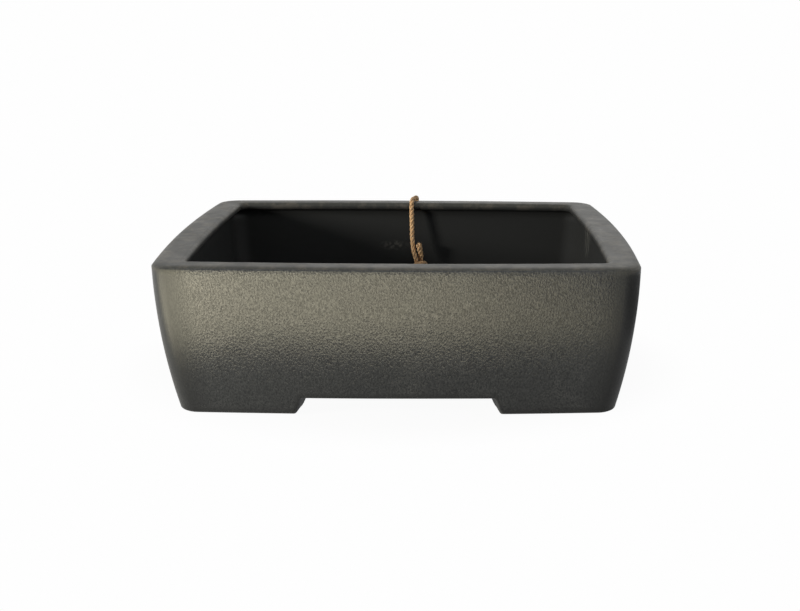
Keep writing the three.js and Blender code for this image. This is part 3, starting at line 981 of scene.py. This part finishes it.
# %% Clay: leather grain and grit
GRAIN_SIZE = 0.95 * MM
GRAIN_STRETCH = 0.7
GRAIN_LEVELS = (0.34, 0.66)
GRAIN_DEPTH = 0.1 * MM
GRIT_SIZE = 0.4 * MM
GRIT_DEPTH = 0.03 * MM


def pattern(node, vector, size, levels, spread=(0.0, 1.0), **character):
    """Cloudy noise of a real size, whose part between the two levels is stretched to the spread."""
    cloudy = node("ShaderNodeTexNoise", {"Vector": vector, "Scale": 1 / size, **character})
    return node("ShaderNodeMapRange", [cloudy, *levels, *spread])


def leather_and_relief(node, place, grain_here):
    """The grain's height from 0 to 1, and the normal of the grained and gritty skin."""
    upright = node("ShaderNodeMapping", {"Vector": place, "Scale": (1, 1, GRAIN_STRETCH)})
    leather = pattern(node, upright, GRAIN_SIZE, GRAIN_LEVELS,
                      Detail=2.0, Roughness=0.55, Distortion=0.2)
    height = node("ShaderNodeMath", [leather, grain_here], operation="MULTIPLY")
    grit = node("ShaderNodeTexNoise", {"Vector": place, "Scale": 1 / GRIT_SIZE, "Detail": 2.0})
    grained = node("ShaderNodeBump", {"Strength": 1.0, "Distance": GRAIN_DEPTH, "Height": height})
    gritty = node("ShaderNodeBump", {
        "Strength": 1.0, "Distance": GRIT_DEPTH, "Height": grit, "Normal": grained,
    })
    return leather, gritty


print(f"grain of {GRAIN_SIZE * 1000:.2f} mm, {GRAIN_DEPTH * 1000:.1f} mm deep")

# %% [markdown]
# ### The clay's colours
#
# The fire leaves the clay a little darker here and paler there, in clouds some 45 mm wide. Ridges
# of the grain are paler than its valleys, and where the clouds are palest they are rubbed pale.

# %% Clay: colours of the grained faces
CLOUD_SIZE = 45 * MM
VALLEY_CLAY = ("#2b2d2e", "#303232")
RIDGE_CLAY = ("#383a3a", "#404240")
RUBBED_CLAY = "#6f706c"
RUBBED_LEVELS = (0.56, 0.72)
RUBBED_SHARE = 0.4


def grained_clay(node, place, leather):
    """The colour of the outer faces."""
    clouds = node("ShaderNodeTexNoise", {
        "Vector": place, "Scale": 1 / CLOUD_SIZE, "Detail": 4.0, "Roughness": 0.6,
    })
    valley, ridge = (paint(node, linear(darker), (clouds, linear(paler)))
                     for darker, paler in (VALLEY_CLAY, RIDGE_CLAY))
    pale_clouds = node("ShaderNodeMapRange", [clouds, *RUBBED_LEVELS, 0.0, RUBBED_SHARE])
    rubbed = node("ShaderNodeMath", [pale_clouds, leather], operation="MULTIPLY")
    return paint(node, valley, (leather, ridge), (rubbed, linear(RUBBED_CLAY)))


print("clouds of", round(CLOUD_SIZE * 1000), "mm")

# %% [markdown]
# ### Marks on the clay
#
# There are three marks: a pale smear on the rear inner wall, pale arcs on the right inner wall, and
# one pinhole high on the front, whose dark spot is painted shade for a hole that isn't modelled.
# The smear and the pinhole were left by the making. Each is an egg-shaped spot at its place, and
# the first two are broken up by noise.

# %% Clay: smear, pale arcs and pinhole
MARK_CLAY = "#8d8e88"
MARK_FADE = (0.2, 1.0)
SMEAR = (-0.0095, 0.102, 0.061)
SMEAR_HALF = (13 * MM, 8 * MM, 4.5 * MM)
SMEAR_STREAK = 3 * MM
SMEAR_LEVELS = (0.42, 0.68)
SMEAR_SHARE = 0.35
# Pale arcs on the right inner wall, in rings about a centre.
ARC_PATCH_MIDDLE = (0.138, 0.062, 0.076)
ARC_PATCH_HALF = (8 * MM, 11 * MM, 17 * MM)
ARC_CENTRE = (0.138, 0.0855, 0.069)
ARC_SPACING = 2.6 * MM
ARC_WIDTH = 1.04 * MM
ARC_SHARE = 0.9
ARC_BREAK = 7 * MM
ARC_BREAK_LEVELS = (0.38, 0.62)
ARC_FAINTEST = 0.4
# The pinhole's dark colour is painted shade, for a hole that isn't modelled.
PINHOLE_SHADE = "#141312"
PINHOLE = (-0.1095, -0.1115, 0.0825)
PINHOLE_HALF = (0.55 * MM, 0.55 * MM, 0.55 * MM)
PINHOLE_FADE = (0.6, 1.4)


def spot(node, place, middle, half, fade):
    """1 in the middle of an egg-shaped patch, fading to 0 between two shares of its half sizes."""
    offset = node("ShaderNodeVectorMath", [place, middle], operation="SUBTRACT")
    in_halves = node("ShaderNodeVectorMath", [offset, half], operation="DIVIDE")
    distance = node("ShaderNodeVectorMath", [in_halves], operation="LENGTH")
    return node("ShaderNodeMapRange", [distance, *fade, 1.0, 0.0])


def pale_arcs(node, place):
    """Rings about a centre, fainter in places."""
    from_centre = node("ShaderNodeVectorMath", [place, ARC_CENTRE], operation="DISTANCE")
    wave = node("ShaderNodeMath", [from_centre, ARC_SPACING], operation="PINGPONG")
    edges = (ARC_SPACING - ARC_WIDTH, ARC_SPACING)
    arcs = node("ShaderNodeMapRange", [wave, *edges, 0.0, ARC_SHARE])
    broken = pattern(node, place, ARC_BREAK, ARC_BREAK_LEVELS, (ARC_FAINTEST, 1.0), Detail=2.0)
    return node("ShaderNodeMath", [arcs, broken], operation="MULTIPLY")


def pale_marks(node, place):
    """How much of the smear and the arcs shows."""
    streaks = pattern(node, place, SMEAR_STREAK, SMEAR_LEVELS, (0.0, SMEAR_SHARE), Detail=3.0)
    smear = spot(node, place, SMEAR, SMEAR_HALF, MARK_FADE)
    arc_patch = spot(node, place, ARC_PATCH_MIDDLE, ARC_PATCH_HALF, MARK_FADE)
    return node("ShaderNodeMath", [
        node("ShaderNodeMath", [smear, streaks], operation="MULTIPLY"),
        node("ShaderNodeMath", [arc_patch, pale_arcs(node, place)], operation="MULTIPLY"),
    ], operation="ADD")


print("arcs every", round(2 * ARC_SPACING * 1000, 1), "mm")

# %% [markdown]
# ### The clay's sheen
#
# Fired clay of this kind is a dielectric with no coat, and what differs over the pot is how far its
# skin is closed. The tops of the leather grain are polished by the pad and by hands, so the outer
# faces are the smoothest and mirror their surroundings softly, broken by the relief. The inside was
# wiped with a damp sponge and is rougher, with a weak sheen. The corners, where a hand has smoothed
# the grain away, lie between the two. The rim was burnished, but dust and handling have dulled it
# in patches, and it mirrors a little warmer.

# %% Material: unglazed dark stoneware
BURNISHED_CLAY = "#2b2c2c"
RIM_DUST = "#5c5851"
RIM_DUST_SIZE = 9 * MM
RIM_DUST_LEVELS = (0.46, 0.62)
RIM_DUST_SHARE = 0.6
RIM_TINT = "#fffbe6"
RIM_BLOTCH_SIZE = 14 * MM
RIM_BLOTCH_LEVELS = (0.3, 0.7)
RIM_ROUGHNESS = (0.46, 0.56)
INSIDE_ROUGHNESS = 0.4
GRAIN_ROUGHNESS = 0.17
RIM_SHEEN = 0.51
INSIDE_SHEEN = 0.25
GRAIN_SHEEN = (0.36, 0.66)


def make_stoneware():
    material, node = new_shading(bpy.data.materials, "unglazed_dark_stoneware")
    place = node("ShaderNodeTexCoord").outputs["Object"]
    grain_here = node("ShaderNodeAttribute", attribute_name="grain").outputs["Fac"]
    leather, relief = leather_and_relief(node, place, grain_here)
    plain = node("ShaderNodeMath", [1.0, grain_here], operation="SUBTRACT", use_clamp=True)
    height = node("ShaderNodeSeparateXYZ", [place]).outputs["Z"]
    high_up = node("ShaderNodeMapRange", [height, LIP_FOOT, HEIGHT - RIM_EDGE_DROP])
    on_rim = node("ShaderNodeMath", [high_up, plain], operation="MULTIPLY")
    inside = node("ShaderNodeMath", [plain, on_rim], operation="SUBTRACT", use_clamp=True)

    dust = pattern(node, place, RIM_DUST_SIZE, RIM_DUST_LEVELS, (0.0, RIM_DUST_SHARE),
                   Detail=5.0, Roughness=0.65)
    colour = paint(
        node, linear(BURNISHED_CLAY),
        (grain_here, grained_clay(node, place, leather)),
        (pale_marks(node, place), linear(MARK_CLAY)),
        (node("ShaderNodeMath", [on_rim, dust], operation="MULTIPLY"), linear(RIM_DUST)),
        # painted shade of the pinhole
        (spot(node, place, PINHOLE, PINHOLE_HALF, PINHOLE_FADE), linear(PINHOLE_SHADE)),
    )

    off_rim = node("ShaderNodeMix", {
        "Factor": plain, "A": GRAIN_ROUGHNESS, "B": INSIDE_ROUGHNESS,
    })
    rim_roughness = pattern(node, place, RIM_BLOTCH_SIZE, RIM_BLOTCH_LEVELS, RIM_ROUGHNESS,
                            Detail=3.0)
    roughness = node("ShaderNodeMix", {"Factor": on_rim, "A": off_rim, "B": rim_roughness})
    grain_sheen = node("ShaderNodeMix", {
        "Factor": leather, "A": GRAIN_SHEEN[0], "B": GRAIN_SHEEN[1],
    })
    outer_sheen = node("ShaderNodeMix", {"Factor": grain_here, "A": RIM_SHEEN, "B": grain_sheen})
    sheen = node("ShaderNodeMix", {"Factor": inside, "A": outer_sheen, "B": INSIDE_SHEEN})
    clay = node("ShaderNodeBsdfPrincipled", {
        "Base Color": colour, "Roughness": roughness, "Specular IOR Level": sheen,
        "Specular Tint": paint(node, linear(WHITE), (on_rim, linear(RIM_TINT))),
        "Normal": relief,
    })
    node("ShaderNodeOutputMaterial", {"Surface": clay})
    return material


stoneware = make_stoneware()
stoneware_pot.data.materials.append(stoneware)
print("made", stoneware.name)

# %% [markdown]
# ## Floor and sky
#
# The picture shows the pot on plain white. The floor and the sky look white only to the camera and
# in reflections, and light the pot weakly. Round the pot the floor carries painted shade, which
# stands for the light the pot keeps off the paper: a little for the camera, and strongly for
# mirrored rays, which gives the foot of the walls a dark floor to mirror. The painted shade goes by
# the distance in a plan that is squashed along X until the pot is a square, so it reaches as far on
# every side.

# %% Floor and sky
FLOOR_SIDE = 12.0
PAPER = "#e8e8e8"
BACKGROUND = "#fefefe"
PLAN_SQUASH = (DEPTH / LENGTH, 1.0, 1.0)
NEAR_POT = 0.112
SHADE_REACH_MIRRORED_SEEN = (0.34, 0.16)
SHADE_DEPTH_MIRRORED_SEEN = (0.75, 0.04)
SKY_LEVEL = 0.12


def seen_directly(node):
    """1 for camera, glossy and transmission rays, which see the white background."""
    path = node("ShaderNodeLightPath").outputs
    either = node("ShaderNodeMath", [
        path["Is Camera Ray"], path["Is Glossy Ray"],
    ], operation="MAXIMUM")
    return node("ShaderNodeMath", [either, path["Is Transmission Ray"]], operation="MAXIMUM")


def flat_sheet(name, corners, height, material):
    """A sheet that lies at a height above the ground."""
    mesh = bpy.data.meshes.new(name)
    mesh.from_pydata([(x, y, height) for x, y in corners], [], [tuple(range(len(corners)))])
    mesh.materials.append(material)
    return link_object(name, mesh)


def make_floor():
    material, node = new_shading(bpy.data.materials, "white_paper")
    squashed = node("ShaderNodeVectorMath", [
        node("ShaderNodeTexCoord").outputs["Object"], PLAN_SQUASH,
    ], operation="MULTIPLY")
    camera_ray = node("ShaderNodeLightPath").outputs["Is Camera Ray"]
    reach, depth = (node("ShaderNodeMix", {"Factor": camera_ray, "A": mirrored, "B": seen})
                    for mirrored, seen in (SHADE_REACH_MIRRORED_SEEN, SHADE_DEPTH_MIRRORED_SEEN))
    # painted shade round the pot: by distance, the white glow gives way to the lit paper
    near = node("ShaderNodeMapRange", [
        node("ShaderNodeVectorMath", [squashed], operation="LENGTH"), NEAR_POT, reach, 1.0, 0.0,
    ], interpolation_type="SMOOTHSTEP")
    shaded = node("ShaderNodeMath", [near, depth], operation="MULTIPLY")
    whiteness = node("ShaderNodeMath", [1.0, shaded], operation="SUBTRACT")
    mixed = node("ShaderNodeMixShader", [
        node("ShaderNodeMath", [seen_directly(node), whiteness], operation="MULTIPLY"),
        node("ShaderNodeBsdfDiffuse", {"Color": linear(PAPER)}),
        node("ShaderNodeEmission", {"Color": linear(BACKGROUND), "Strength": 1.0}),
    ])
    node("ShaderNodeOutputMaterial", {"Surface": mixed})
    half = FLOOR_SIDE / 2
    corners = [(-half, -half), (half, -half), (half, half), (-half, half)]
    floor = flat_sheet("studio_floor", corners, 0.0, material)


def make_sky():
    world, node = new_shading(bpy.data.worlds, "white_sky")
    level = node("ShaderNodeMix", {"Factor": seen_directly(node), "A": SKY_LEVEL, "B": 1.0})
    sky = node("ShaderNodeBackground", {"Color": linear(BACKGROUND), "Strength": level})
    node("ShaderNodeOutputWorld", {"Surface": sky})
    bpy.context.scene.world = world


make_floor()
make_sky()
print("floor", FLOOR_SIDE, "m across")

# %% [markdown]
# ## Two cards on the floor
#
# A photographer shapes the sheen on dark clay with cards for it to mirror. Two lie on the floor
# here, and only mirrored rays see them. The warm one, before the pot, is brightest at the far left
# and dim at the right. The front wall's upper half mirrors it as a broad, warm sheen. Its lower
# half curves in, mirrors the shaded floor at its own foot and stays dark and cool. The dull one, at
# the right, keeps the white surroundings out of what the right end mirrors.

# %% Cards that only mirrored rays see
CARD_HEIGHT = 1 * MM
POT_FRONT = -DEPTH / 2
WARM_CARD = [
    (-0.52, POT_FRONT - 1.4), (0.18, POT_FRONT - 1.4), (0.18, POT_FRONT - 0.089),
    (-0.11, POT_FRONT - 0.089), (-0.18, POT_FRONT - 0.046), (-0.52, POT_FRONT - 0.046),
]
WARM_COLOUR = "#fff6d8"
WARM_STRENGTH = 4.7
WARM_FADE = ((-0.04, 0.22), (0.0, -3.5))
WARM_EXTRA = ((-0.235, -0.165), (4.0, 0.0))
DULL_CARD = [(0.24, -0.45), (0.9, -0.45), (0.9, 0.2), (0.24, 0.2)]
DULL_STRENGTH = 0.2


def floor_card(name, material_name, corners, colour, strength, changes=()):
    """A card whose upper side glows. Each change is a pair of places across the card and a pair of
    amounts that are added to its strength there."""
    material, node = new_shading(bpy.data.materials, material_name)
    place = node("ShaderNodeTexCoord").outputs["Object"]
    across = node("ShaderNodeSeparateXYZ", [place]).outputs["X"]
    for places, amounts in changes:
        added = node("ShaderNodeMapRange", [across, *places, *amounts])
        strength = node("ShaderNodeMath", [strength, added], operation="ADD")
    below = node("ShaderNodeNewGeometry").outputs["Backfacing"]
    above = node("ShaderNodeMath", [1.0, below], operation="SUBTRACT")
    glow = node("ShaderNodeEmission", {
        "Color": linear(colour),
        "Strength": node("ShaderNodeMath", [strength, above], operation="MULTIPLY"),
    })
    node("ShaderNodeOutputMaterial", {"Surface": glow})
    card = flat_sheet(name, corners, CARD_HEIGHT, material)
    card.visible_camera = card.visible_shadow = card.visible_diffuse = False


floor_card("warm_card", "glowing_card", WARM_CARD, WARM_COLOUR, WARM_STRENGTH,
           [WARM_FADE, WARM_EXTRA])
floor_card("dark_card", "dull_card", DULL_CARD, WHITE, DULL_STRENGTH)
print("the warm card reaches to", round((POT_FRONT - WARM_CARD[2][1]) * 1000), "mm from the front")

# %% [markdown]
# ## Three soft boxes
#
# The main light is a small box, low at the left. It lights the cord and the inside, and throws the
# cord's shadow on the rear wall. It and the weak fill at the right aren't mirrored, because the
# clay would show them as spots. A weak box behind the pot lifts the rear rim.

# %% Soft boxes
def soft_box(name, place, aim_height, side, strength, colour=WHITE, mirrored=True):
    """A square lamp that faces the pot and isn't seen itself. At a strength of 1 it is as bright as
    white."""
    lamp = bpy.data.lights.new(name, "AREA")
    lamp.shape = "SQUARE"
    lamp.size = side
    lamp.energy = strength * math.pi * side ** 2
    lamp.color = linear(colour)[:3]
    box = link_object(name, lamp)
    box.location = place
    aim = Vector((0, 0, aim_height)) - Vector(place)
    box.rotation_euler = aim.to_track_quat("-Z", "Y").to_euler()
    box.visible_camera = False
    box.visible_glossy = mirrored


soft_box("key_low_left", place=(-0.82, -0.36, 0.27), aim_height=0.06, side=0.15,
         strength=134.0, colour="#fffaf0", mirrored=False)
soft_box("fill_right", place=(0.8, 0.0, 0.36), aim_height=0.06, side=0.3, strength=4.5,
         mirrored=False)
soft_box("box_behind", place=(0.1, 0.8, 0.5), aim_height=0.05, side=0.5, strength=0.5)

# %% [markdown]
# ## Hand the pieces to the frame
#
# Nothing on this object moves, so every piece rides on the one body. The finer meshes stand for
# their CAD solids, which are hidden.

# %% Bodies and replaced solids
for piece in (stoneware_pot, jute_cord, reef_knot, cut_end_upper, cut_end_lower):
    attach(piece, "root")
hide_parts("pot_body")
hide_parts("tie_cord")
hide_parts("tie_knot")
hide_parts("tie_end_upper")
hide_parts("tie_end_lower")

# %% Settings and the last update
bpy.context.scene.view_settings.view_transform = "Standard"
bpy.context.view_layer.update()
